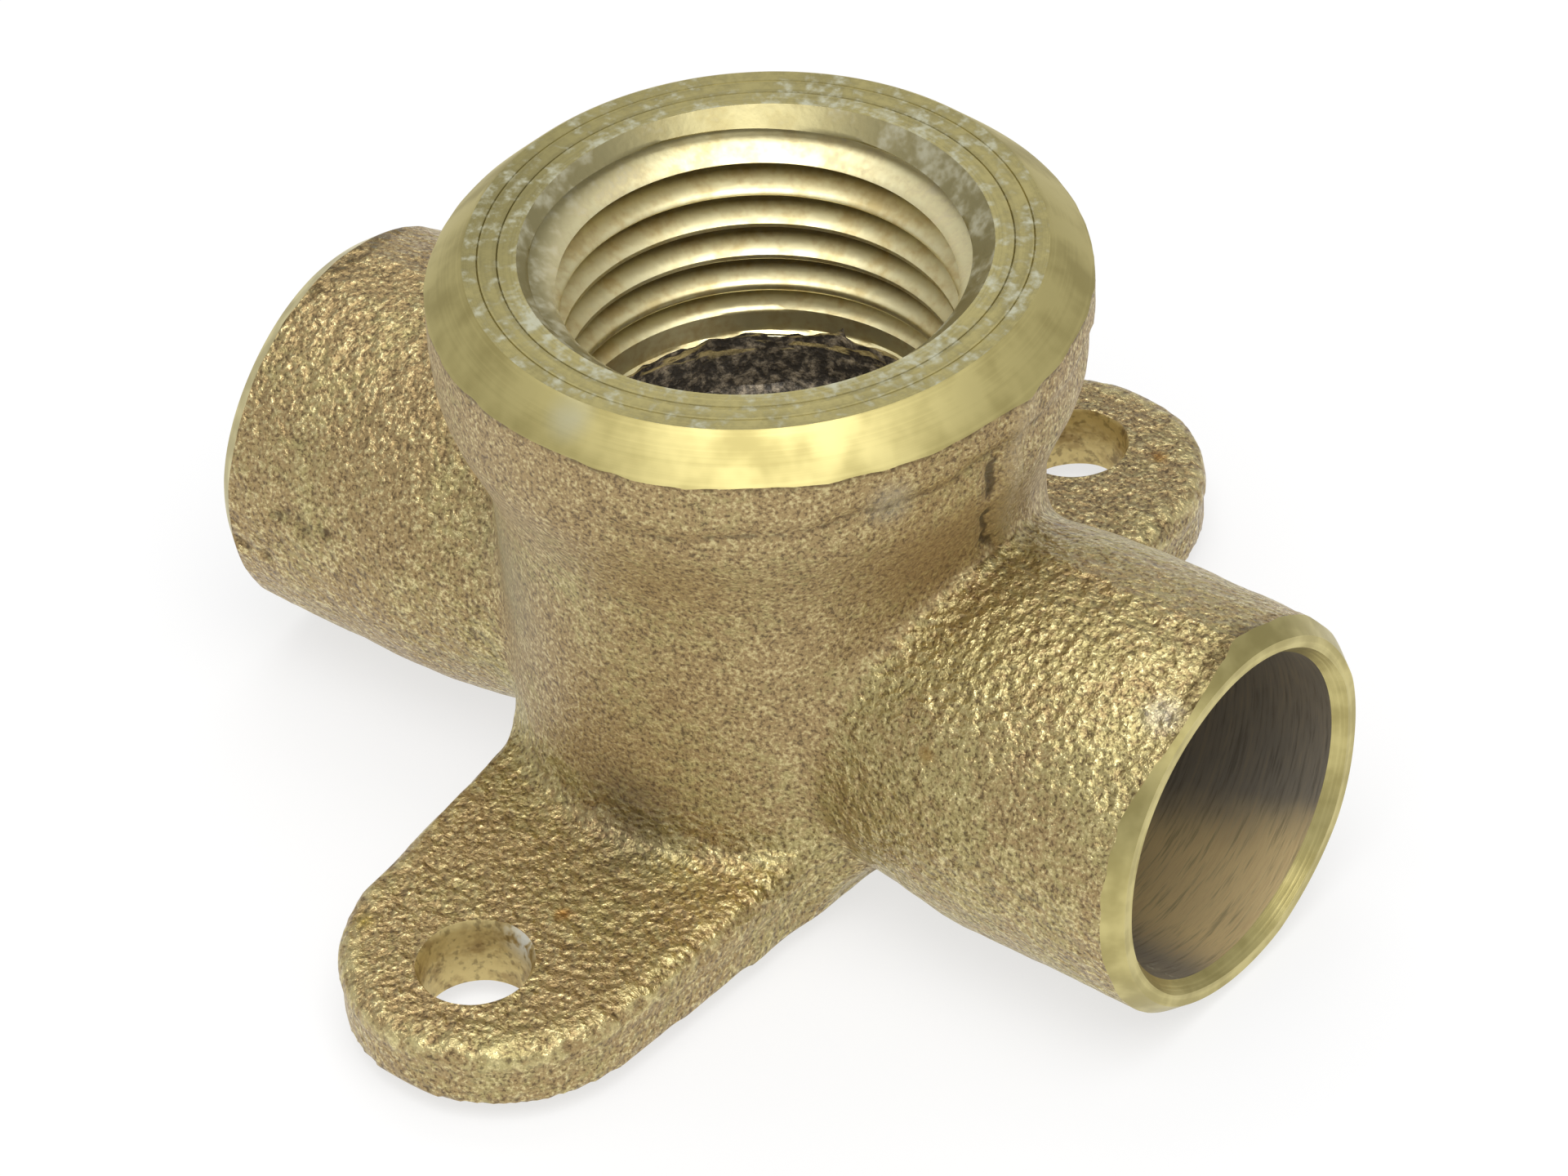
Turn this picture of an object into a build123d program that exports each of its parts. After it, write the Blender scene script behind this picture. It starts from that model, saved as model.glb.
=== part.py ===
import os
from math import acos, atan2, cos, hypot, radians, sin, tan

from build123d import *

# A drop-ear tee: one brass sand casting with two solder cups in line, a taper-threaded outlet square to
# them, and two flat ears that screw to a board. All sizes are in millimetres and degrees.
# +X runs along the cups, +Z points out of the outlet, and the ears lie along Y.
# The origin is under the crossing of the two axes, at the height of the cups' lowest line.

# Solder cups and the run between them
copper_tube_d = 15.875
solder_gap = 0.0625
cup_depth = 12.7
cup_wall = 1.7
run_reach = 26.6
neck_length = 2.6
neck_drop = 1.35
waist_length = 11.0
waterway_d = 12.7

# Machined rim of each cup
mouth_chamfer = 0.5
mouth_chamfer_length = 0.7
rim_chamfer = 0.65
rim_chamfer_length = 0.85

# Outlet boss and its collar
outlet_reach = 21.3
collar_d = 30.2
face_chamfer = 1.67
collar_band = 4.6
collar_taper = 4.8
collar_blend = 0.30
boss_d = 25.9
boss_blend = 0.44
boss_draft = 1.5
boss_foot_slope = 45.0

# Threaded bore of the outlet, at its tap drill size, and the cored passage under it
tap_drill_d = 18.26
thread_depth = 12.4
countersink_d = 21.66
core_d = 17.0
core_depth = 15.0
branch_d = 13.0

# Ears
ear_reach = 28.6
ear_tip_r = 7.7
ear_root_w = 17.5
ear_tip_thickness = 3.2
ear_draft = 2.5
ear_drop = 8.7
ear_edge_round = 1.0
ear_root_fillet = 2.5
ear_foot_bevel = 0.3
ear_hole_d = 5.2
ear_hole_pitch = 46.0

# Sizes that follow from the ones above
cup_bore_r = copper_tube_d / 2 + solder_gap
cup_outer_r = cup_bore_r + cup_wall
collar_r = collar_d / 2
run_height = cup_outer_r
waist_r = cup_outer_r - neck_drop
shoulder_x = boss_d / 2 + neck_length
underside_z = run_height - ear_drop
root_y = boss_d / 4
tip_y = ear_reach - ear_tip_r
root_bearing = atan2(tip_y - root_y, ear_root_w / 2)
side_taper = acos(ear_tip_r / hypot(tip_y - root_y, ear_root_w / 2)) - root_bearing
side_x = ear_tip_r * cos(side_taper)
side_y = tip_y + ear_tip_r * sin(side_taper)
face_z = run_height + outlet_reach
run_axis = Axis((0, 0, run_height), (1, 0, 0))
run_plane = Plane((0, 0, run_height), x_dir=(1, 0, 0), z_dir=(0, -1, 0))


def rounded_face(points, rounds):
    """A flat outline through the points, with the numbered corners rounded to a radius."""
    face = make_face(Polyline(*points, close=True))
    for number, radius in rounds.items():
        corner = face.vertices().sort_by_distance((*points[number], 0))[0]
        face = fillet(corner, radius)
    return face


def boss_casting():
    """The outlet boss, drafted down to the ears' underside and flaring up into the collar.

    Each end of the flare is rounded over a share of the flare's own slant.
    """
    chamfer_z = face_z - face_chamfer
    taper_top_z = chamfer_z - collar_band
    taper_foot_z = taper_top_z - collar_taper
    draft = radians(boss_draft)
    foot_r = boss_d / 2 - (taper_foot_z - underside_z) * tan(draft)
    flare = collar_r - boss_d / 2
    slant = hypot(flare, collar_taper)
    lean = atan2(flare, collar_taper)
    boss_round = boss_blend * slant / tan((lean - draft) / 2)
    collar_round = collar_blend * slant / tan(lean / 2)
    outline = [
        (0, underside_z),
        (foot_r, underside_z),
        (boss_d / 2, taper_foot_z),
        (collar_r, taper_top_z),
        (collar_r, chamfer_z),
        (collar_r - face_chamfer, face_z),
        (0, face_z),
    ]
    return revolve(Plane.YZ * rounded_face(outline, {2: boss_round, 3: collar_round}), Axis.Z)


def run_casting():
    """The run's outside: a band round each cup, tapering in to a waist under the boss."""
    half = [
        (waist_length / 2, waist_r),
        (shoulder_x, cup_outer_r),
        (run_reach - rim_chamfer_length, cup_outer_r),
        (run_reach, cup_outer_r - rim_chamfer),
        (run_reach, 0),
    ]
    outline = half + [(-x, r) for x, r in reversed(half)]
    return revolve(run_plane * make_face(Polyline(*outline, close=True)), run_axis)


def ear_casting():
    """One ear along +Y: a round-ended plate whose top falls away from the boss, cut flat underneath."""
    draft = radians(ear_draft)
    top_plane = Plane(
        (0, ear_reach, underside_z + ear_tip_thickness),
        x_dir=(1, 0, 0),
        z_dir=(0, sin(draft), cos(draft)),
    )
    root_x = ear_root_w / 2
    plan = make_face(
        [
            Line((root_x, root_y), (side_x, side_y)),
            ThreePointArc((side_x, side_y), (0, ear_reach), (-side_x, side_y)),
            Line((-side_x, side_y), (-root_x, root_y)),
            Line((-root_x, root_y), (root_x, root_y)),
        ]
    )
    plate = extrude(top_plane * Location((0, -ear_reach)) * plan, -ear_drop)
    over_board = Pos(0, 0, underside_z) * Box(
        ear_reach * 2, ear_reach * 4, ear_drop * 2, align=(Align.CENTER, Align.CENTER, Align.MIN)
    )
    ear = plate & over_board
    top = ear.faces().sort_by(Axis.Z)[-1]
    rim = [edge for edge in top.edges() if edge.center().Y > root_y + ear_edge_round]
    return fillet(rim, ear_edge_round)


def foot_reliefs():
    """What is taken off under the boss beside the ears: a slope, starting as a bevel along each side."""
    along = Vector(sin(side_taper), -cos(side_taper), 0)
    across = Vector(cos(side_taper), sin(side_taper), 0)
    beside_ear = Plane((side_x, side_y, underside_z), x_dir=across, z_dir=along)
    slope = tan(radians(boss_foot_slope))
    section = make_face(
        Polyline(
            (-ear_foot_bevel - collar_r, -collar_r * slope),
            (collar_r, -collar_r * slope),
            (collar_r, (ear_foot_bevel + collar_r) * slope),
            close=True,
        )
    )
    wedge = extrude(beside_ear * section, side_y + collar_r) + extrude(beside_ear * section, -ear_tip_r)
    quarter = Box(ear_reach * 2, ear_reach * 2, face_z * 2, align=(Align.MIN, Align.MIN, Align.CENTER))
    relief = wedge & quarter
    pair = [relief, mirror(relief, Plane.YZ)]
    return pair + [Rotation(0, 0, 180) * side for side in pair]


def root_edges(joined, first, second):
    """The edges along which two joined castings meet: those that lie on the skin of both."""
    skins = (first.faces(), second.faces())
    places = (0.25, 0.5, 0.75)
    touching = 1e-4

    def on_skin(edge, skin):
        return all(min(face.distance_to(edge @ place) for face in skin) < touching for place in places)

    return [edge for edge in joined.edges() if all(on_skin(edge, skin) for skin in skins)]


def waterways():
    """What is taken out along the run: the bored cups, their mouth chamfers and the waterway between."""
    stop_x = run_reach - cup_depth
    half = [
        (stop_x, waterway_d / 2),
        (stop_x, cup_bore_r),
        (run_reach - mouth_chamfer_length, cup_bore_r),
        (run_reach, cup_bore_r + mouth_chamfer),
        (run_reach, 0),
    ]
    outline = half + [(-x, r) for x, r in reversed(half)]
    return revolve(run_plane * make_face(Polyline(*outline, close=True)), run_axis)


def outlet_bore():
    """What is taken out of the boss: countersink, threaded bore, cored passage and branch to the run."""
    tap_r = tap_drill_d / 2
    countersink_r = countersink_d / 2
    funnel = (core_d - branch_d) / 2
    outline = [
        (0, run_height),
        (branch_d / 2, run_height),
        (branch_d / 2, face_z - core_depth - funnel),
        (core_d / 2, face_z - core_depth),
        (core_d / 2, face_z - thread_depth),
        (tap_r, face_z - thread_depth),
        (tap_r, face_z - (countersink_r - tap_r)),
        (countersink_r, face_z),
        (0, face_z),
    ]
    return revolve(Plane.XZ * make_face(Polyline(*outline, close=True)), Axis.Z)


def screw_holes():
    """The two drilled holes of the ears."""
    hole = Cylinder(ear_hole_d / 2, face_z, align=(Align.CENTER, Align.CENTER, Align.MIN))
    return [Location((0, side * ear_hole_pitch / 2, 0)) * hole for side in (1, -1)]


boss = boss_casting()
near_ear = ear_casting()
ears = near_ear + mirror(near_ear, Plane.XZ)
eared_boss = boss + ears
eared_boss = fillet(root_edges(eared_boss, boss, ears), ear_root_fillet)
eared_boss = eared_boss - foot_reliefs()

casting = eared_boss + run_casting()
tee_body = casting - waterways() - outlet_bore() - screw_holes()

os.makedirs("parts", exist_ok=True)
export_step(tee_body, "parts/tee_body.step")
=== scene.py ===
from math import acos, atan2, cos, hypot, pi, radians, sin, tan

import bmesh
import bpy
from mathutils import Matrix, Vector, noise


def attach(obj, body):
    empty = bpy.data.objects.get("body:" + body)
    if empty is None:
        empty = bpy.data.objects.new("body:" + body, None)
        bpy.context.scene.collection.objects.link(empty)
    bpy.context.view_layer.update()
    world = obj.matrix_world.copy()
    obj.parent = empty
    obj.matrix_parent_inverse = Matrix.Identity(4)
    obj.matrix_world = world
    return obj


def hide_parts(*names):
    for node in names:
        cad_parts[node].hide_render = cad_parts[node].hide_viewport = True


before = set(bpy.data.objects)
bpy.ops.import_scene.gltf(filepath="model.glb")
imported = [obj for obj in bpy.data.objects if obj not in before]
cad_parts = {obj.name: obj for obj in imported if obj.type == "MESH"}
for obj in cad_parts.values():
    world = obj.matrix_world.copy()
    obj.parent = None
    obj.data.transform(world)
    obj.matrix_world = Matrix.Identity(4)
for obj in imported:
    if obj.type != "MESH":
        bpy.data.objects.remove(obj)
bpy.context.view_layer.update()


# The casting: one pour of brass in green sand, split along the run and the outlet.
# Boss, collar, run and the two ears come out of the mould as one lump with soft roots between them,
# a sandy skin, and spare metal on the outlet face and the cup ends for the lathe.
class Wire:
    """One output of a node, so that node maths reads as a plain expression."""

    def __init__(self, tree, socket=None):
        self.tree = tree
        self.socket = socket

    def node(self, kind, settings=None, sockets=None, output=0):
        """Add a node: its settings first, then the values or links of its sockets."""
        made = self.tree.nodes.new(kind)
        for name, value in (settings or {}).items():
            setattr(made, name, value)
        for name, value in (sockets or {}).items():
            if isinstance(value, Wire):
                self.tree.links.new(value.socket, made.inputs[name])
            else:
                made.inputs[name].default_value = value
        return Wire(self.tree, made.outputs[output] if made.outputs else None)

    def out(self, name):
        """Another output of the same node."""
        return Wire(self.tree, self.socket.node.outputs[name])

    def maths(self, operation, *values):
        return self.node("ShaderNodeMath", {"operation": operation}, dict(enumerate(values)))

    def __add__(self, other):
        return self.maths("ADD", self, other)

    def __radd__(self, other):
        return self.maths("ADD", other, self)

    def __sub__(self, other):
        return self.maths("SUBTRACT", self, other)

    def __rsub__(self, other):
        return self.maths("SUBTRACT", other, self)

    def __mul__(self, other):
        return self.maths("MULTIPLY", self, other)

    def __rmul__(self, other):
        return self.maths("MULTIPLY", other, self)

    def __truediv__(self, other):
        return self.maths("DIVIDE", self, other)

    def __rtruediv__(self, other):
        return self.maths("DIVIDE", other, self)

    def __abs__(self):
        return self.maths("ABSOLUTE", self)

    def root(self):
        return self.maths("SQRT", self)

    def least(self, other):
        return self.maths("MINIMUM", self, other)

    def most(self, other):
        return self.maths("MAXIMUM", self, other)

    def soft_least(self, other, blend):
        return self.maths("SMOOTH_MIN", self, other, blend)

    def soft_most(self, other, blend):
        return self.maths("SMOOTH_MAX", self, other, blend)

    def rise(self, low, high):
        """0 below one value, 1 above another, and a soft step between them."""
        return self.node(
            "ShaderNodeMapRange",
            {"interpolation_type": "SMOOTHSTEP"},
            {"Value": self, "From Min": low, "From Max": high},
        )

    def past(self, limit, over):
        """0 up to a limit, then rising to 1 over a distance beyond it."""
        return (self - limit).rise(0.0, over)

    def short_of(self, limit, over):
        """0 down to a limit, then rising to 1 over a distance below it."""
        return (limit - self).rise(0.0, over)

    def axes(self):
        """The three parts of a vector."""
        split = self.node("ShaderNodeSeparateXYZ", {}, {0: self})
        return split, split.out(1), split.out(2)


def start_tree(name, inputs):
    """An empty node tree with a named input for each size, and the wires of those inputs."""
    tree = bpy.data.node_groups.new(name, "GeometryNodeTree")
    for label, value in inputs.items():
        kind = "NodeSocketInt" if isinstance(value, int) else "NodeSocketFloat"
        tree.interface.new_socket(label, in_out="INPUT", socket_type=kind)
    tree.interface.new_socket("Geometry", in_out="OUTPUT", socket_type="NodeSocketGeometry")
    entry = Wire(tree).node("NodeGroupInput")
    return tree, {label: entry.out(label) for label in inputs}


def close_tree(tree, geometry, material):
    """End the tree as plain geometry with its material."""
    real = geometry.node("GeometryNodeRealizeInstances", {}, {0: geometry})
    dressed = real.node("GeometryNodeSetMaterial", {}, {"Geometry": real, "Material": material})
    dressed.node("NodeGroupOutput", {}, {0: dressed})


def grow(name, tree, inputs):
    """Run a tree with the given sizes and keep what it makes as the plain mesh of an object."""
    grown = bpy.data.objects.new(name, bpy.data.meshes.new(name))
    bpy.context.scene.collection.objects.link(grown)
    modifier = grown.modifiers.new(name, "NODES")
    modifier.node_group = tree
    for item in tree.interface.items_tree:
        if item.in_out == "INPUT":
            modifier[item.identifier] = inputs[item.name]
    settle(grown)
    return grown


def settle(piece):
    """Turn a piece with live modifiers into a plain mesh."""
    held = piece.evaluated_get(bpy.context.evaluated_depsgraph_get())
    mesh = bpy.data.meshes.new_from_object(held)
    piece.modifiers.clear()
    piece.data = mesh


def new_material(name):
    """A material with an empty shader, and a wire to start its nodes from."""
    material = bpy.data.materials.new(name)
    material.use_nodes = True
    shader = material.node_tree.nodes["Principled BSDF"]
    return material, shader, Wire(material.node_tree)


def place_on(wire):
    """The place on the piece that a material is at."""
    return wire.node("ShaderNodeTexCoord", {}, {}, output="Object")


def feed(shader, **sockets):
    """Link wires to the shader's sockets, or set the values that are the same all over."""
    for name, value in sockets.items():
        socket = shader.inputs[name.replace("_", " ")]
        if isinstance(value, Wire):
            value.tree.links.new(value.socket, socket)
        else:
            socket.default_value = value


def tint(low, high, share):
    """One colour turning into another as the share goes from 0 to 1."""
    return share.node(
        "ShaderNodeMix", {"data_type": "RGBA"}, {0: share, 6: low, 7: high}, output=2
    )


def speckle(place, scale, detail=2.0, roughness=0.5):
    """A cloudy pattern, about 0 to 1, of so many lumps to the metre."""
    return place.node(
        "ShaderNodeTexNoise",
        {},
        {"Vector": place, "Scale": scale, "Detail": detail, "Roughness": roughness},
    )


def bump(height, strength, depth):
    """A surface that stands up with a pattern, by so many metres."""
    return height.node(
        "ShaderNodeBump", {}, {"Strength": strength, "Distance": depth, "Height": height}
    )


def span(first, second):
    """The length of two distances that are square to each other."""
    return (first * first + second * second).root()


def apart(place, centre):
    """The distance from a point."""
    return place.node(
        "ShaderNodeVectorMath", {"operation": "DISTANCE"}, {0: place, 1: centre}, output="Value"
    )


def near(place, centre, reach, full=1.0):
    """1 at a point of the piece, falling softly to 0 at a distance from it."""
    return (1.0 - apart(place, centre) / reach).rise(0.0, full)


def on_line(off, half_width, full=1.0):
    """1 on a line, falling softly to 0 at half its width to each side."""
    return (1.0 - abs(off) / half_width).rise(0.0, full)


run_height = 0.0097
face_height = 0.031
face_edge_radius = 0.01343
underside = 0.001
collar_radius = 0.0151
cup_outer_radius = 0.0097
run_reach = 0.0266
lathe_spare = 0.001
boss_draft = radians(1.5)
ear_reach = 0.0286
ear_tip_radius = 0.0077
ear_tip_y = ear_reach - ear_tip_radius
ear_tip_thickness = 0.0032
ear_root_half = 0.00875
ear_root_y = 0.006475
ear_bearing = atan2(ear_tip_y - ear_root_y, ear_root_half)
ear_taper = acos(ear_tip_radius / hypot(ear_tip_y - ear_root_y, ear_root_half)) - ear_bearing
ear_draft = radians(2.5)
ear_start = 0.0125
ear_root_top = 0.0068
drift_scale = 260.0


def on_boss_wall(from_axis, z):
    """1 on the boss and its collar, where the sand was finest, and 0 on the run and the ears."""
    boss_limit = 0.0134
    collar_swell = 0.0026
    collar_foot = 0.0193
    boss_foot = 0.0062
    limit = boss_limit + collar_swell * z.past(collar_foot, 0.001)
    return from_axis.short_of(limit, 0.0006) * z.past(boss_foot, 0.002)


def lip_line(x, drift):
    """Height of the uneven step under the collar, which climbs towards the seam."""
    lip_height = 0.0262
    climb_start = 0.006
    climb = 0.13
    wander = 0.0016
    return lip_height + climb * (x - climb_start).most(0.0) + wander * (drift - 0.5)


def ear_flank(out_x, out_y, tip_radius):
    """How far a point lies outside an ear's tapering side."""
    return out_x * cos(ear_taper) + (out_y - ear_tip_y) * sin(ear_taper) - tip_radius


def ear_plan(out_x, out_y, tip_radius):
    """How far a point lies outside an ear, seen from above: two tapering sides and a round tip."""
    past_tip = (out_y - ear_tip_y) * cos(ear_taper) - out_x * sin(ear_taper)
    beside = ear_flank(out_x, out_y, tip_radius)
    round_tip = span(out_x, out_y - ear_tip_y) - tip_radius
    return beside + past_tip.maths("GREATER_THAN", past_tip, 0.0) * (round_tip - beside)


def above_ear(z, out_y):
    """How far a point lies above an ear's sloping top."""
    return z - (underside + ear_tip_thickness + (ear_reach - out_y) * tan(ear_draft))


def seam_offset(place, y, z):
    """How far a point lies beside the wandering seam on the boss, and 1 where that seam is open."""
    bend_foot = 0.0195
    bend_height = 0.0115
    bend_width = 0.0020
    sideways = 0.0002
    jitter = 0.0011
    seam_top = 0.0269
    seam_break = 0.0240
    bend = (z - bend_foot) * (pi / bend_height)
    curve = bend_width * bend.maths("SINE", bend)
    off = y + sideways + curve - jitter * (speckle(place, 900.0, 2.0) - 0.5)
    gaps = z.short_of(seam_top, 0.0004) * abs(z - seam_break).rise(0.0002, 0.0007)
    return off, gaps


cast_skin, skin_shader, skin = new_material("cast_skin")
olive_gold = (0.48, 0.40, 0.172, 1.0)
rose_brown = (0.43, 0.305, 0.138, 1.0)
sand_dark = (0.12, 0.078, 0.038, 1.0)
glint_gold = (0.88, 0.77, 0.41, 1.0)
rubbed_gold_and_highlight = (0.80, 0.70, 0.34, 1.0)
pit_dark = (0.07, 0.045, 0.025, 1.0)
crease_shade = (0.10, 0.065, 0.03, 1.0)
lap_tan = (0.56, 0.46, 0.27, 1.0)
crack_black = (0.035, 0.024, 0.016, 1.0)
chamfer_foot_dark = (0.13, 0.085, 0.03, 1.0)

skin_place = place_on(skin)
skin_x, skin_y, skin_z = skin_place.axes()
skin_from_axis = span(skin_x, skin_y)
skin_wall = on_boss_wall(skin_from_axis, skin_z)
grain = speckle(skin_place, 4900.0, 3.0, 0.6)
pebble = speckle(skin_place, 1500.0, 1.5)
sand_cells = skin_place.node("ShaderNodeTexVoronoi", {}, {"Vector": skin_place, "Scale": 2300.0})
clouds = speckle(skin_place, 210.0, 3.0, 0.6)
hue = speckle(skin_place, 2400.0, 2.0)

left_cup = skin_x.short_of(-0.012, 0.004)
on_ears = abs(skin_y).past(0.013, 0.003)
far_ear_shade = skin_y.past(0.014, 0.004)
browner = skin_wall * 0.11 + left_cup * 0.12 + on_ears * 0.08
skin_colour = tint(rose_brown, olive_gold, (hue * 0.5 + clouds * 0.6 - browner).rise(0.40, 0.66))
hollows = (1.0 - grain * 0.9 - pebble * 0.1).rise(0.51, 0.65)
# Dark sand in the hollows of the skin, and a little painted shade over the whole far ear.
skin_colour = tint(skin_colour, sand_dark, hollows * 0.8 + far_ear_shade * 0.15)
glints = (grain * 0.8 + pebble * 0.2).rise(0.51, 0.63)
skin_colour = tint(skin_colour, glint_gold, glints * (0.65 - 0.08 * skin_wall))

# Each stain, or patch of painted shade: its middle, how far it spreads, its colour and its strength.
stains_and_shade = [
    # The first, dark at the ear's root, is partly a stain and partly painted shade in the corner
    # between ear and boss.
    ((0.0010, -0.0128, 0.0066), 0.0042, (0.11, 0.075, 0.055, 1.0), 0.60),
    ((0.0132, -0.0048, 0.0222), 0.0052, (0.33, 0.20, 0.095, 1.0), 0.5),
    ((-0.0076, -0.0102, 0.0155), 0.0060, (0.40, 0.36, 0.24, 1.0), 0.45),
    ((0.0131, -0.0074, 0.0271), 0.0018, (0.50, 0.47, 0.36, 1.0), 0.60),
    ((0.0252, -0.0040, 0.0184), 0.0015, (0.55, 0.53, 0.45, 1.0), 0.55),
    ((0.0014, -0.0183, 0.0046), 0.0007, (0.42, 0.19, 0.03, 1.0), 0.80),
    ((-0.0060, -0.0237, 0.0043), 0.0008, (0.50, 0.38, 0.06, 1.0), 0.60),
    ((0.0153, -0.0085, 0.0142), 0.0007, (0.33, 0.19, 0.04, 1.0), 0.75),
    ((0.0041, 0.0245, 0.0043), 0.0007, (0.42, 0.20, 0.03, 1.0), 0.80),
]
for middle, spread, colour, strength in stains_and_shade:
    stained_or_shaded = near(skin_place, middle, spread) * (0.35 + clouds) * strength
    skin_colour = tint(skin_colour, colour, stained_or_shaded)

pits = [
    (-0.0255, -0.0097, 0.0084),
    (-0.0250, -0.0097, 0.0082),
    (-0.0237, -0.0097, 0.0083),
    (-0.0227, -0.0096, 0.0112),
    (-0.0221, -0.0096, 0.0116),
    (-0.0215, -0.0096, 0.0115),
    (-0.0210, -0.0097, 0.0111),
    (-0.0197, -0.0096, 0.0115),
]
pit_radius = 0.0004
pit_shade = 0.0005
for pit in pits:
    skin_colour = tint(skin_colour, pit_dark, near(skin_place, pit, pit_shade).rise(0.1, 0.6) * 0.8)

# The ears' rounded rims are painted a brighter gold: partly wear, and partly a painted highlight along
# the edge.
ear_rim_wear_and_highlight = ear_plan(abs(skin_x), abs(skin_y), ear_tip_radius).past(-0.0015, 0.0007)
ear_rim_wear_and_highlight = ear_rim_wear_and_highlight * above_ear(skin_z, abs(skin_y)).past(-0.0012, 0.0004)
ear_rim_wear_and_highlight = ear_rim_wear_and_highlight * abs(skin_y).past(ear_start, 0.002) * skin_z.short_of(ear_root_top, 0.001)
skin_colour = tint(skin_colour, rubbed_gold_and_highlight, ear_rim_wear_and_highlight * 0.45 * pebble.rise(0.40, 0.66))

# Painted shade: a broken dark line along the crease under the collar's lip.
crease_half = 0.0003
above_lip = skin_z - lip_line(skin_x, speckle(skin_place, drift_scale, 2.0))
crease = on_line(above_lip + crease_half, crease_half) * skin_from_axis.past(0.0125, 0.0005)
crease = crease * pebble.rise(0.38, 0.62) * skin_x.past(0.001, 0.004)
skin_colour = tint(skin_colour, crease_shade, crease * 0.65)

crack_half = 0.0003
lap_half = 0.0013
skin_seam, skin_gaps = seam_offset(skin_place, skin_y, skin_z)
by_seam = abs(skin_x).past(0.0120, 0.001)
skin_lap = on_line(skin_seam - lap_half, lap_half, 0.8) * by_seam * skin_z.past(0.0195, 0.001)
skin_colour = tint(skin_colour, lap_tan, skin_lap * 0.35)
skin_crack = on_line(skin_seam, crack_half, 0.6) * skin_gaps
skin_crack = skin_crack * by_seam * skin_z.past(0.0190, 0.0015)
skin_colour = tint(skin_colour, crack_black, skin_crack * (0.35 + 0.7 * grain))

chamfer_cone = face_height + face_edge_radius
# The skin is painted darker in a thin ragged band just below the chamfer's lower edge.
chamfer_foot_width = 0.00035
chamfer_foot_band = (1.0 + (skin_from_axis + skin_z - chamfer_cone) / chamfer_foot_width).rise(0.0, 0.8)
skin_colour = tint(skin_colour, chamfer_foot_dark, chamfer_foot_band * pebble.rise(0.35, 0.6) * 0.75)

skin_height = grain * 0.3 + sand_cells * (0.20 - 0.12 * skin_wall) + pebble * (0.95 - 0.7 * skin_wall)
feed(
    skin_shader,
    Base_Color=skin_colour,
    Metallic=0.76 + 0.24 * glints - 0.24 * skin_wall,
    Roughness=0.30 + 0.14 * clouds - 0.14 * glints + 0.13 * skin_wall,
    Normal=bump(skin_height, 1.0, 0.00034),
)

casting_sizes = {
    "Collar radius": collar_radius,
    "Boss radius": 0.01295,
    "Flare foot": 0.01993,
    "Flare slope": 0.448,
    "Cup radius": cup_outer_radius,
    "Waist radius": 0.00835,
    "Shoulder": 0.01555,
    "Neck slope": 0.1343,
    "Ear tip radius": ear_tip_radius,
    "Ear step": 0.00014,
    "Ear root blend": 0.0026,
    "Run root blend": 0.0019,
    "Lip step": 0.00030,
    "Seam depth": 0.00030,
    "Skin depth": 0.00014,
}
casting_tree, size = start_tree("sand_casting", casting_sizes)
place = Wire(casting_tree).node("GeometryNodeInputPosition")
x, y, z = place.axes()
from_axis = span(x, y)
from_run = span(y, z - run_height)
out_x = abs(x)
out_y = abs(y)

collar_round = 0.0007
boss_round = 0.0012
lip_half = 0.00022
flare_lean = 0.96
foot_lean = 0.7071
foot_bevel = 0.0008
flare = size["Boss radius"] + (z - size["Flare foot"]) * size["Flare slope"]
wall = size["Boss radius"] + (z - size["Flare foot"]) * tan(boss_draft)
boss_radius = flare.soft_least(size["Collar radius"], collar_round).soft_most(wall, boss_round)
drift = speckle(place, drift_scale, 2.0)
lip = (z - lip_line(x, drift)).rise(-lip_half, lip_half) - 0.5
boss_radius = boss_radius + size["Lip step"] * (0.25 + 0.75 * x.rise(0.0, 0.005)) * lip
foot = ear_flank(out_x, out_y, size["Ear tip radius"]) - (z - underside) + foot_bevel
boss = ((from_axis - boss_radius) * flare_lean).soft_most(foot * foot_lean, boss_round)
boss = boss.most(underside - z).most(z - (face_height + lathe_spare))

shoulder_round = 0.0003
neck = size["Cup radius"] - (size["Shoulder"] - out_x) * size["Neck slope"]
run_radius = neck.soft_least(size["Cup radius"], shoulder_round).most(size["Waist radius"])
run = (from_run - run_radius).most(out_x - (run_reach + lathe_spare))

ear_step_height = 0.0031
ear_step_half = 0.00015
ear_edge_round = 0.0013
ear_foot_round = 0.0004
ear_side = ear_plan(out_x, out_y, size["Ear tip radius"])
ear_side = ear_side + size["Ear step"] * (ear_step_height - z).rise(-ear_step_half, ear_step_half)
ear_top = above_ear(z, out_y)
ears = ear_side.soft_most(ear_top, ear_edge_round).soft_most(underside - z, ear_foot_round)

ear_root = size["Ear root blend"] * (0.5 + 0.5 * ear_top.rise(-0.0015, 0.0004))
run_root = size["Run root blend"] * (0.35 + 0.65 * z.rise(0.004, 0.009))
lump = boss.soft_least(ears, ear_root).soft_least(run, run_root)

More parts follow.
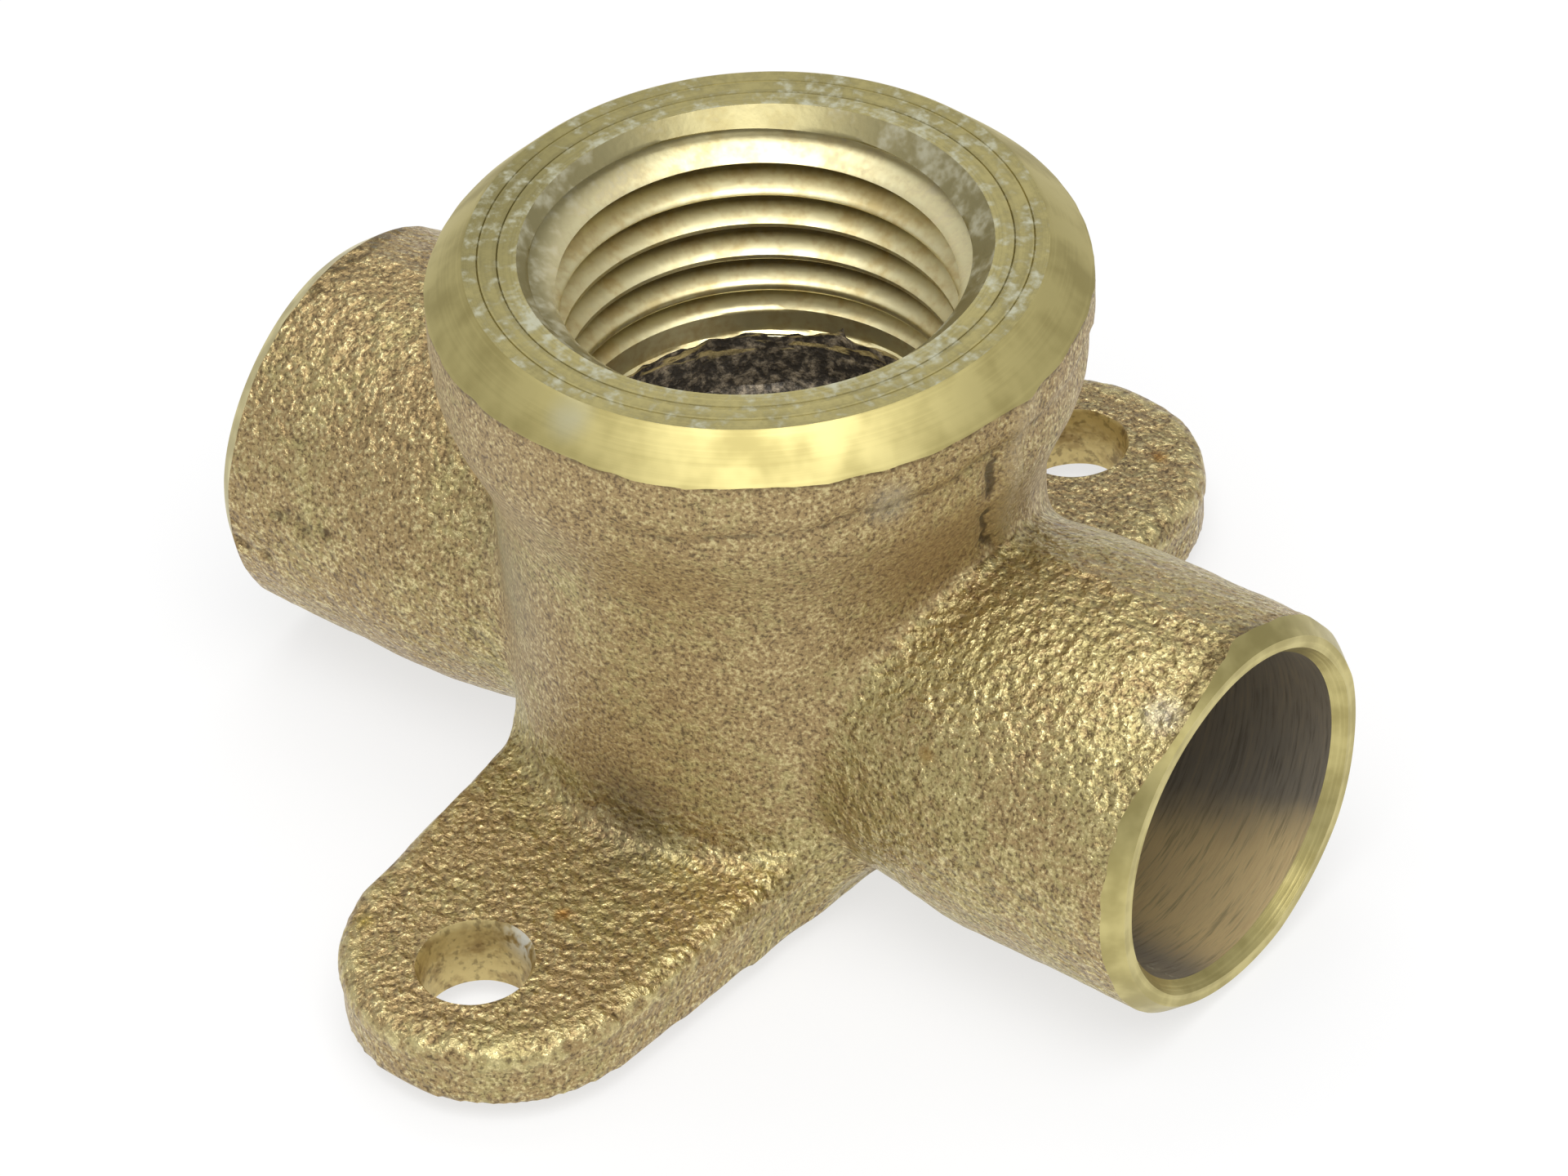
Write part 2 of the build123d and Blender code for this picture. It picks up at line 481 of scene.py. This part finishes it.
crack_mouth = 0.00042
ridge_off = 0.0011
ridge_half = 0.0009
flash_half = 0.0005
flash_wander = 0.0004
flash_start = 0.0145
off_seam, seam_gaps = seam_offset(place, y, z)
on_boss = from_axis.past(0.0115, 0.001) * z.past(0.0185, 0.0015)
crack = (1.0 - abs(off_seam) / crack_mouth).most(0.0) * seam_gaps
ridge = (1.0 - abs(off_seam - ridge_off) / ridge_half).most(0.0)
flash = (1.0 - abs(y + flash_wander * (drift - 0.5)) / flash_half).most(0.0)
flash = flash * out_x.past(flash_start, 0.001)
seam = on_boss * (crack - 0.4 * ridge) - 0.16 * flash * drift.rise(0.35, 0.6)
lump = lump + size["Seam depth"] * seam

swell = speckle(place, 230.0, 1.0) - 0.5
sand = speckle(place, 760.0, 1.0) - 0.5
rolled_edge = ear_side.past(-0.0012, 0.0006) * z.short_of(ear_root_top, 0.001)
sand_depth = 1.1 - 0.5 * on_boss_wall(from_axis, z)
sand_depth = sand_depth - 0.6 * rolled_edge * out_y.past(ear_start, 0.002)
raw_collar = 0.0278
raw_cup = 0.0245
raw_edge = z.past(raw_collar, 0.0010) + out_x.past(raw_cup, 0.0008)
lump = lump + size["Skin depth"] * (swell * 1.3 + sand * (sand_depth + 1.2 * raw_edge))

worn_end = (0.0266, -0.0042, 0.0186)
worn_depth = 0.0004
worn_reach = 0.006
lump = lump + worn_depth * near(place, worn_end, worn_reach, 0.8)
for pit in pits:
    lump = lump.most(pit_radius - apart(place, pit))
lowest = 0.00003
furthest = 0.0285
lump = lump.most(lowest - z).most(out_y - furthest)

voxel = 0.00035
band = 4.0 * voxel
density = 0.5 - lump / band
mould_low = Vector((-0.0286, -0.0296, -0.001))
mould_high = Vector((0.0286, 0.0296, 0.033))
cells = [round(extent / voxel) for extent in mould_high - mould_low]
mould = density.node(
    "GeometryNodeVolumeCube",
    {},
    {
        "Density": density,
        "Min": mould_low,
        "Max": mould_high,
        "Resolution X": cells[0],
        "Resolution Y": cells[1],
        "Resolution Z": cells[2],
    },
)
shell = mould.node(
    "GeometryNodeVolumeToMesh",
    {"resolution_mode": "GRID"},
    {"Volume": mould, "Threshold": 0.5, "Adaptivity": 0.0},
)
close_tree(casting_tree, shell, cast_skin)
tee = grow("tee", casting_tree, casting_sizes)


# The outlet's face and chamfer: the casting's own brass, turned bright on a lathe.
# The cutter takes off the spare metal above the face and outside the chamfer's cone,
# and leaves two fine rings on the face.
def turned(name, outline, finishes, lay, steps):
    """A solid of revolution: its outline runs from axis to axis, with one finish for each side."""
    solid = bmesh.new()
    rings = []
    for along, radius in outline:
        count = steps if radius > 0 else 1
        rings.append([solid.verts.new(lay(along, radius, 2 * pi * k / steps)) for k in range(count)])
    kinds = list(dict.fromkeys(finishes))
    for (low, high), finish in zip(zip(rings, rings[1:]), finishes):
        for k in range(steps):
            here, after = k, k + 1
            corners = [
                low[here % len(low)],
                low[after % len(low)],
                high[after % len(high)],
                high[here % len(high)],
            ]
            side = solid.faces.new(list(dict.fromkeys(corners)))
            side.material_index = kinds.index(finish)
    bmesh.ops.recalc_face_normals(solid, faces=solid.faces)
    mesh = bpy.data.meshes.new(name)
    solid.to_mesh(mesh)
    solid.free()
    for finish in kinds:
        mesh.materials.append(finish)
    made = bpy.data.objects.new(name, mesh)
    bpy.context.scene.collection.objects.link(made)
    return made


def upright(along, radius, angle):
    """A point of a solid turned about the outlet's axis."""
    return (radius * cos(angle), radius * sin(angle), along)


def cut_away(piece, cutter):
    """Take a cutter's shape out of the piece, whose new walls get the cutter's finishes."""
    cut = piece.modifiers.new(cutter.name, "BOOLEAN")
    cut.operation = "DIFFERENCE"
    cut.solver = "MANIFOLD"
    cut.material_mode = "TRANSFER"
    cut.object = cutter
    settle(piece)
    bpy.data.objects.remove(cutter)


def streaks(along, scale, detail=2.0):
    """Irregular parallel lines across a direction, as a tool leaves them."""
    return along.node(
        "ShaderNodeTexNoise",
        {"noise_dimensions": "1D"},
        {"W": along, "Scale": scale, "Detail": detail, "Roughness": 0.6},
    )


brass_bright = (0.62, 0.54, 0.235, 1.0)
brass_dull = (0.44, 0.375, 0.15, 1.0)
lime = (0.56, 0.57, 0.46, 1.0)

turned_brass, turned_shader, turned_wire = new_material("turned_brass")
lime_spot = (0.0004, -0.0139, 0.0305)
turned_place = place_on(turned_wire)
turned_x, turned_y, turned_z = turned_place.axes()
turned_rings = streaks(span(turned_x, turned_y) - turned_z, 3200.0)
turned_wear = speckle(turned_place, 330.0, 3.0)
turned_dull = (turned_wear * 0.95 + turned_rings * 0.2).rise(0.45, 0.75)
turned_colour = tint(brass_bright, brass_dull, turned_dull)
turned_colour = tint(turned_colour, lime, near(turned_place, lime_spot, 0.0016) * turned_wear * 1.1)
feed(
    turned_shader,
    Base_Color=turned_colour,
    Metallic=1.0,
    Roughness=0.44 + 0.16 * turned_wear,
    Normal=bump(turned_rings * 0.25 + turned_wear, 0.18, 0.00005),
)

faced_brass, faced_shader, faced_wire = new_material("faced_brass")
faced_olive = (0.50, 0.435, 0.185, 1.0)
faced_brown = (0.29, 0.25, 0.105, 1.0)
faced_shade = (0.20, 0.175, 0.07, 1.0)
oxide_pale = (0.52, 0.53, 0.41, 1.0)
shade_spot = (-0.0125, -0.0040, 0.0310)
faced_place = place_on(faced_wire)
faced_x, faced_y = faced_place.axes()[:2]
faced_radius = span(faced_x, faced_y)
faced_rings = streaks(faced_radius, 3600.0, 3.0)
faced_clouds = speckle(faced_place, 430.0, 4.0, 0.65)
faced_grit = speckle(faced_place, 1500.0, 3.0, 0.6)
edge_dirt = (0.0118 - faced_radius).rise(-0.0001, 0.0012)
oxide = (faced_clouds * 0.45 + faced_grit * 0.72 + edge_dirt * 0.07).rise(0.57, 0.80)
faced_dull = (faced_rings * 0.25 + faced_clouds * 0.5 + faced_grit * 0.4).rise(0.45, 0.72)
faced_colour = tint(faced_olive, faced_brown, faced_dull)
faced_colour = tint(faced_colour, faced_shade, near(faced_place, shade_spot, 0.0120) * 0.5)
faced_colour = tint(faced_colour, oxide_pale, oxide * 0.7)
feed(
    faced_shader,
    Base_Color=faced_colour,
    Metallic=0.9 - 0.75 * oxide,
    Roughness=0.38 + 0.3 * oxide,
    Normal=bump(faced_rings * 0.4 + faced_grit * 0.5 + faced_clouds, 0.25, 0.00006),
)

ring_radii = (0.01172, 0.01262)
ring_half = 0.00004
ring_depth = 0.00007
edge_break_in = 0.00012
edge_break_out = 0.00003
edge_break_depth = 0.00008
cutter_radius = 0.018
cutter_rise = 0.004
face_steps = 192
facing = turned(
    "facing_cutter",
    [
        (face_height, 0.0),
        *[
            (face_height - dip, ring + side * ring_half)
            for ring in ring_radii
            for side, dip in ((-1, 0.0), (0, ring_depth), (1, 0.0))
        ],
        (face_height, face_edge_radius - edge_break_in),
        (face_height - edge_break_depth, face_edge_radius + edge_break_out),
        (face_height - (cutter_radius - face_edge_radius), cutter_radius),
        (face_height + cutter_rise, cutter_radius),
        (face_height + cutter_rise, 0.0),
    ],
    [faced_brass] * 7 + [turned_brass] * 4,
    upright,
    face_steps,
)
cut_away(tee, facing)


# The cored passage under the outlet: a hole that a sand core left in the brass as it was poured.
# Its wall is dark and rough, with bright flecks at the top, where the tap tore it.
def stretched(place, scale):
    """The place on the piece, stretched by so much along each axis."""
    return place.node("ShaderNodeVectorMath", {"operation": "MULTIPLY"}, {0: place, 1: scale})


core_wall, core_shader, core_wire = new_material("core_wall")
core_black = (0.065, 0.055, 0.043, 1.0)
core_tan = (0.46, 0.38, 0.27, 1.0)
torn_gold = (0.66, 0.52, 0.23, 1.0)
torn_height = 0.0176
core_place = place_on(core_wire)
core_z = core_place.axes()[2]
core_grit = speckle(core_place, 1900.0, 3.0, 0.65)
core_colour = tint(core_black, core_tan, core_grit.rise(0.42, 0.72))
core_torn = speckle(stretched(core_place, (0.25, 0.25, 1.5)), 1900.0, 2.0).rise(0.52, 0.6)
core_colour = tint(core_colour, torn_gold, core_torn * core_z.past(torn_height, 0.0008))
feed(
    core_shader,
    Base_Color=core_colour,
    Metallic=0.25,
    Roughness=0.55,
    Normal=bump(core_grit, 0.8, 0.00025),
)

core_radius = 0.0090
branch_radius = 0.0065
core_top = 0.0198
core_depth = 0.015
core_end = face_height - core_depth
funnel = core_radius - branch_radius
funnel_end = core_end - funnel
branch_length = 0.004
core_outline = [
    (core_top, 0.0),
    *[(core_top - 0.00038 * k, core_radius) for k in range(11)],
    *[(core_end - funnel * k / 5, core_radius - funnel * k / 5) for k in range(1, 6)],
    *[(funnel_end - 0.0005 * k, branch_radius) for k in range(1, 9)],
    (funnel_end - branch_length, 0.0),
]
core_rough = 0.00022
core_lumps = 900.0
core_steps = 160
core_finish = [core_wall] * (len(core_outline) - 1)
core = turned("core_cutter", core_outline, core_finish, upright, core_steps)
for vertex in core.data.vertices:
    rough = noise.fractal(vertex.co * core_lumps, 1.0, 2.0, 3) * core_rough
    reach = vertex.co.xy.length
    if reach > 0:
        vertex.co.xy *= (reach + rough) / reach
cut_away(tee, core)


# The tapped outlet: a hole drilled and countersunk in the brass, then cut with a taper pipe thread
# of 14 turns to the inch. The tap runs out ragged at the bottom, where the drill breaks into the
# rough cored passage.
tapped_brass, tapped_shader, tapped_wire = new_material("tapped_brass")
tapped_bright = (0.95, 0.87, 0.53, 1.0)
tapped_amber = (0.78, 0.64, 0.32, 1.0)
dirt_and_shade_brown = (0.10, 0.062, 0.02, 1.0)
countersink_olive = (0.28, 0.24, 0.105, 1.0)
tapped_place = place_on(tapped_wire)
tapped_x, tapped_y, tapped_z = tapped_place.axes()
tapped_radius = span(tapped_x, tapped_y)
tapped_wear = speckle(tapped_place, 700.0, 3.0)
tapped_grit = speckle(tapped_place, 2600.0, 2.0)
# The thread roots are darkened brown: partly tarnish in the roots, and partly painted shade in the
# grooves.
root_dirt_and_shade = (tapped_radius - 0.031 * tapped_z).rise(0.0090, 0.0096) * tapped_z.short_of(0.0297, 0.0008)
tapped_dull = (tapped_wear * 0.8 + tapped_grit * 0.4).rise(0.5, 0.8)
tapped_colour = tint(tapped_bright, tapped_amber, tapped_dull)
tapped_colour = tint(tapped_colour, dirt_and_shade_brown, root_dirt_and_shade * 0.85)
tapped_colour = tint(tapped_colour, countersink_olive, tapped_z.past(0.0292, 0.0008) * 0.82)
crusted = tapped_wear * 0.8 + tapped_grit * 0.35 + abs(tapped_x + tapped_y) * 12.0
tapped_lime = tapped_z.past(0.0272, 0.002) * crusted.rise(0.66, 0.92)
tapped_colour = tint(tapped_colour, lime, tapped_lime * 0.5)
feed(
    tapped_shader,
    Base_Color=tapped_colour,
    Metallic=1.0 - 0.6 * tapped_lime,
    Roughness=0.36 + 0.16 * tapped_wear,
    Normal=bump(tapped_grit + tapped_wear, 0.2, 0.00006),
)

thread_sizes = {
    "Pitch": 0.001814,
    "Root radius": 0.0107,
    "Taper": 1 / 32,
    "Drill radius": 0.00913,
    "Drill depth": 0.0119,
    "Countersink radius": 0.01083,
    "Fade start": 0.0098,
    "Fade": 0.55,
    "Last turn": 0.0143,
}
thread_top = -0.0006
thread_bottom = 0.0152
thread_turns = 11.0
thread_steps = 144
thread_rows = 19
flank_slope = 3 ** 0.5
root_flat = 0.00012
root_round = 0.0002
crest_round = 0.00012
run_out_slope = 4.0
drill_point_slope = 2.0
tap_core = 0.006
merge_within = 0.000004
thread_tree, size = start_tree("tapped_thread", thread_sizes)
ribbon = Wire(thread_tree).node(
    "GeometryNodeMeshGrid",
    {},
    {
        "Size X": thread_turns,
        "Size Y": 1.0,
        "Vertices X": int(thread_turns) * thread_steps + 1,
        "Vertices Y": thread_rows,
    },
)
turn, across = ribbon.node("GeometryNodeInputPosition").axes()[:2]
depth = (thread_top + thread_bottom) / 2 - (turn + across) * size["Pitch"]
depth = depth.most(thread_top).least(thread_bottom)
sharp = size["Root radius"] - depth * size["Taper"]
sharp = sharp - (depth - size["Fade start"]).most(0.0) * size["Fade"]
sharp = sharp - (depth - size["Last turn"]).most(0.0) * run_out_slope
groove = sharp - abs(across) * size["Pitch"] * flank_slope
groove = groove.soft_least(sharp - root_flat, root_round)
drill = size["Drill radius"] - (depth - size["Drill depth"]).most(0.0) * drill_point_slope
bore = groove.soft_most(drill, crest_round).most(size["Countersink radius"] - depth).most(tap_core)
angle = turn * (2 * pi)
spot = bore.node(
    "ShaderNodeCombineXYZ",
    {},
    {
        0: bore * angle.maths("COSINE", angle),
        1: bore * angle.maths("SINE", angle),
        2: face_height - depth,
    },
)
wound = ribbon.node("GeometryNodeSetPosition", {}, {"Geometry": ribbon, "Position": spot})
joined = wound.node("GeometryNodeMergeByDistance", {}, {"Geometry": wound, "Distance": merge_within})
close_tree(thread_tree, joined, tapped_brass)
tap = grow("tap_cutter", thread_tree, thread_sizes)
solid = bmesh.new()
solid.from_mesh(tap.data)
bmesh.ops.holes_fill(solid, edges=[edge for edge in solid.edges if edge.is_boundary])
bmesh.ops.recalc_face_normals(solid, faces=solid.faces)
solid.to_mesh(tap.data)
solid.free()
cut_away(tee, tap)


# The two solder cups and the waterway between them: bored and faced in the brass from each end of
# the run. Each rim is left with a chamfer outside, a narrow flat, and a bevelled mouth for the tube.
bored_brass, bored_shader, bored_wire = new_material("bored_brass")
bored_grey = (0.30, 0.275, 0.235, 1.0)
bored_gold = (0.90, 0.70, 0.36, 1.0)
line_amber = (0.72, 0.52, 0.27, 1.0)
line_dark = (0.07, 0.06, 0.045, 1.0)
flux_spot = (0.0255, -0.0050, 0.0036)
bored_place = place_on(bored_wire)
bored_x, bored_y, bored_z = bored_place.axes()
bored_clouds = speckle(bored_place, 420.0, 2.0)
bored_grit = speckle(bored_place, 2200.0, 2.0)
bored_lines = speckle(stretched(bored_place, (5.5, 0.35, 0.35)), 1100.0, 3.0, 0.65)
# Each bore's lower wall is painted lighter gold and its upper wall darker grey: partly a heat stain,
# and partly painted light below and painted shade above.
gold_height = 0.0030
gold_from = 0.0188
gold_climb = 0.242
gold_wander = 0.001
low_edge = gold_height + (abs(bored_x) - gold_from) * gold_climb + gold_wander * (bored_clouds - 0.5)
low_wall = (low_edge - bored_z).rise(-0.0012, 0.0012) * bored_y.past(-0.0035, 0.0035)
bored_colour = tint(bored_grey, bored_gold, low_wall * 0.9 + 0.1 * bored_clouds)
light_lines = bored_lines.rise(0.5, 0.68) * (0.14 + 0.36 * low_wall)
bored_colour = tint(bored_colour, line_amber, light_lines)
bored_colour = tint(bored_colour, line_dark, (1.0 - bored_lines).rise(0.48, 0.72) * 0.4)
bored_lime = near(bored_place, flux_spot, 0.0030) * bored_grit.rise(0.56, 0.64)
bored_colour = tint(bored_colour, lime, bored_lime * 0.8)
feed(
    bored_shader,
    Base_Color=bored_colour,
    Metallic=0.55,
    Roughness=0.38 + 0.12 * bored_clouds,
    Normal=bump(bored_lines + bored_grit * 0.3, 0.3, 0.00005),
)

rim_brass, rim_shader, rim_wire = new_material("rim_brass")
rim_place = place_on(rim_wire)
rim_x, rim_y, rim_z = rim_place.axes()
rim_lines = streaks(span(rim_y, rim_z - run_height) + abs(rim_x), 3200.0)
rim_wear = speckle(rim_place, 520.0, 3.0)
rim_dull = (rim_wear * 0.9 + rim_lines * 0.4).rise(0.5, 0.82)
feed(
    rim_shader,
    Base_Color=tint(brass_bright, brass_dull, rim_dull),
    Metallic=1.0,
    Roughness=0.28 + 0.18 * rim_wear,
    Normal=bump(rim_lines + rim_wear, 0.3, 0.00005),
)

cup_bore_radius = 0.008
cup_depth = 0.0127
waterway_radius = 0.00635
mouth_radius = 0.0085
mouth_length = 0.0007
rim_radius = 0.00905
rim_slope = 0.65 / 0.85
rim_cut = 0.003
rim_wobble = 0.00016
wobble_scale = 130.0
cup_stop = run_reach - cup_depth
past_end = 0.002
cup_steps = 160


def along_run(along, radius, angle):
    """A point of a solid turned about the run's axis."""
    return (along, radius * cos(angle), run_height + radius * sin(angle))


mouth_flare = past_end * (mouth_radius - cup_bore_radius) / mouth_length
half_bore = [
    (cup_stop, waterway_radius),
    (cup_stop, cup_bore_radius),
    (run_reach - mouth_length, cup_bore_radius),
    (run_reach, mouth_radius),
    (run_reach + past_end, mouth_radius + mouth_flare),
    (run_reach + past_end, 0.0),
]
half_finish = [bored_brass, bored_brass, rim_brass, rim_brass, rim_brass]
boring = turned(
    "boring_cutter",
    [(-along, radius) for along, radius in reversed(half_bore)] + half_bore,
    half_finish[::-1] + [bored_brass] + half_finish,
    along_run,
    cup_steps,
)
cut_away(tee, boring)
for end in (1, -1):
    trimming = turned(
        "cup_facing_cutter",
        [
            (end * run_reach, 0.0),
            (end * run_reach, rim_radius),
            (end * (run_reach - rim_cut / rim_slope), rim_radius + rim_cut),
            (end * (run_reach + past_end), rim_radius + rim_cut),
            (end * (run_reach + past_end), 0.0),
        ],
        [rim_brass] * 4,
        along_run,
        cup_steps,
    )
    for vertex in trimming.data.vertices:
        if abs(vertex.co.x) < run_reach + past_end / 2:
            vertex.co.x -= end * rim_wobble * abs(noise.noise(vertex.co * wobble_scale))
    cut_away(tee, trimming)


# The screw holes: one drilled square through the brass of each ear after casting, with its mouth
# just broken. The drill leaves a bright wall, and a little lime and solder flux has dried in it.
drilled_brass, drilled_shader, drilled_wire = new_material("drilled_brass")
drilled_gold = (0.66, 0.53, 0.235, 1.0)
drilled_brown = (0.36, 0.25, 0.10, 1.0)
speck_dark = (0.12, 0.075, 0.03, 1.0)
dried_white = (0.66, 0.67, 0.62, 1.0)
dried_spot = (0.0008, -0.0205, 0.0043)
drilled_place = place_on(drilled_wire)
drilled_clouds = speckle(drilled_place, 900.0, 3.0, 0.6)
drilled_specks = speckle(drilled_place, 2600.0, 2.0)
drilled_dull = (1.0 - drilled_clouds).rise(0.44, 0.66) * 0.8
drilled_colour = tint(drilled_gold, drilled_brown, drilled_dull)
drilled_colour = tint(drilled_colour, speck_dark, (1.0 - drilled_specks).rise(0.52, 0.68) * 0.5)
drilled_lime = (drilled_clouds + 0.5 * drilled_specks).rise(0.62, 0.82)
drilled_lime = near(drilled_place, dried_spot, 0.0020) * drilled_lime
drilled_colour = tint(drilled_colour, dried_white, drilled_lime * 0.9)
feed(
    drilled_shader,
    Base_Color=drilled_colour,
    Metallic=0.7 - 0.6 * drilled_lime,
    Roughness=0.42,
    Normal=bump(drilled_clouds, 0.6, 0.00015),
)

hole_radius = 0.0026
hole_half_pitch = 0.023
hole_foot = -0.002
mouth_foot = 0.0042
mouth_top = 0.0062
mouth_spread = 0.0014
hole_steps = 72
for end in (1, -1):
    drill_cutter = turned(
        "screw_drill",
        [
            (hole_foot, 0.0),
            (hole_foot, hole_radius),
            (mouth_foot, hole_radius),
            (mouth_top, hole_radius + mouth_spread),
            (mouth_top, 0.0),
        ],
        [drilled_brass] * 4,
        lambda along, radius, angle: (
            radius * cos(angle),
            end * hole_half_pitch + radius * sin(angle),
            along,
        ),
        hole_steps,
    )
    cut_away(tee, drill_cutter)


# The finished fitting: casting and machining as one piece of brass, which stands for the solid.
# Edges left by the lathe and the tap stay crisp, and the cast roots stay soft.
crisp_angle = radians(40)
tee.data.shade_smooth()
tee.data.set_sharp_from_angle(angle=crisp_angle)
finished = bmesh.new()
finished.from_mesh(tee.data)
for edge in finished.edges:
    if len({face.material_index for face in edge.link_faces}) > 1:
        edge.smooth = False
finished.to_mesh(tee.data)
finished.free()
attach(tee, "root")
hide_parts("tee_body")


# The studio: a plain pale painted floor under the fitting, and a white surround.
# Two soft lamps hang above it, a large one in front and a weak one behind,
# and the floor looks nearly white to the camera and in the brass, but keeps the shadow.
floor_half = 3.0
floor_white = (0.92, 0.92, 0.92, 1.0)
pure_white = (1.0, 1.0, 1.0, 1.0)
floor_glow = 0.7
floor_mesh = bpy.data.meshes.new("floor")
floor_mesh.from_pydata(
    [
        (left * floor_half, front * floor_half, 0)
        for left, front in ((-1, -1), (1, -1), (1, 1), (-1, 1))
    ],
    [],
    [(0, 1, 2, 3)],
)
floor = bpy.data.objects.new("floor", floor_mesh)
bpy.context.scene.collection.objects.link(floor)
floor_paint, floor_shader, floor_wire = new_material("floor_paint")
feed(floor_shader, Base_Color=floor_white, Roughness=0.9)
seen = floor_wire.node("ShaderNodeLightPath", {}, {}, output="Is Camera Ray")
seen = seen.most(seen.out("Is Glossy Ray")).most(seen.out("Is Transmission Ray"))
glow = seen.node("ShaderNodeEmission", {}, {"Color": pure_white, "Strength": 1.0})
paint = Wire(floor_wire.tree, floor_shader.outputs[0])
lit = seen.node("ShaderNodeMixShader", {}, {0: seen * floor_glow, 1: paint, 2: glow})
floor_wire.tree.links.new(lit.socket, floor_wire.tree.nodes["Material Output"].inputs["Surface"])
floor_mesh.materials.append(floor_paint)

surround_light = 0.5
world = bpy.data.worlds.new("surround")
world.use_nodes = True
bpy.context.scene.world = world
surround = world.node_tree.nodes["Background"]
surround.inputs["Color"].default_value = pure_white
surround.inputs["Strength"].default_value = surround_light


def soft_lamp(name, place, aim, width, power):
    """A square soft lamp, turned to face a point."""
    lamp = bpy.data.lights.new(name, "AREA")
    lamp.shape = "SQUARE"
    lamp.size = width
    lamp.energy = power
    holder = bpy.data.objects.new(name, lamp)
    bpy.context.scene.collection.objects.link(holder)
    holder.location = place
    holder.rotation_euler = (Vector(aim) - Vector(place)).to_track_quat("-Z", "Y").to_euler()


lamp_aim = (0.0, 0.0, 0.01)
soft_lamp("key_lamp", (0.15, -0.17, 0.60), lamp_aim, 0.50, 3.0)
soft_lamp("back_lamp", (-0.17, 0.20, 0.55), lamp_aim, 0.28, 0.5)


# The camera: the photograph's own viewing angle and distance, with a long lens.
# It stands in front of the near ear and the right cup, looks down on them, and leans slightly.
camera = bpy.data.cameras.new("camera")
camera.sensor_width = 36.0
camera.lens = 181.909
camera.clip_start = 0.01
camera_azimuth = radians(40.32)
camera_elevation = radians(39.616)
camera_roll = radians(-3.694)
camera_place = Vector((0.184828, -0.217340, 0.247039))
back = Vector((
    sin(camera_azimuth) * cos(camera_elevation),
    -cos(camera_azimuth) * cos(camera_elevation),
    sin(camera_elevation),
))
level = Vector((cos(camera_azimuth), sin(camera_azimuth), 0.0))
upward = back.cross(level)
right = level * cos(camera_roll) + upward * sin(camera_roll)
upward = upward * cos(camera_roll) - level * sin(camera_roll)
viewpoint = bpy.data.objects.new("camera", camera)
bpy.context.scene.collection.objects.link(viewpoint)
turned_view = Matrix((right, upward, back)).transposed().to_4x4()
viewpoint.matrix_world = Matrix.Translation(camera_place) @ turned_view
bpy.context.scene.camera = viewpoint
bpy.context.scene.view_settings.view_transform = "Standard"
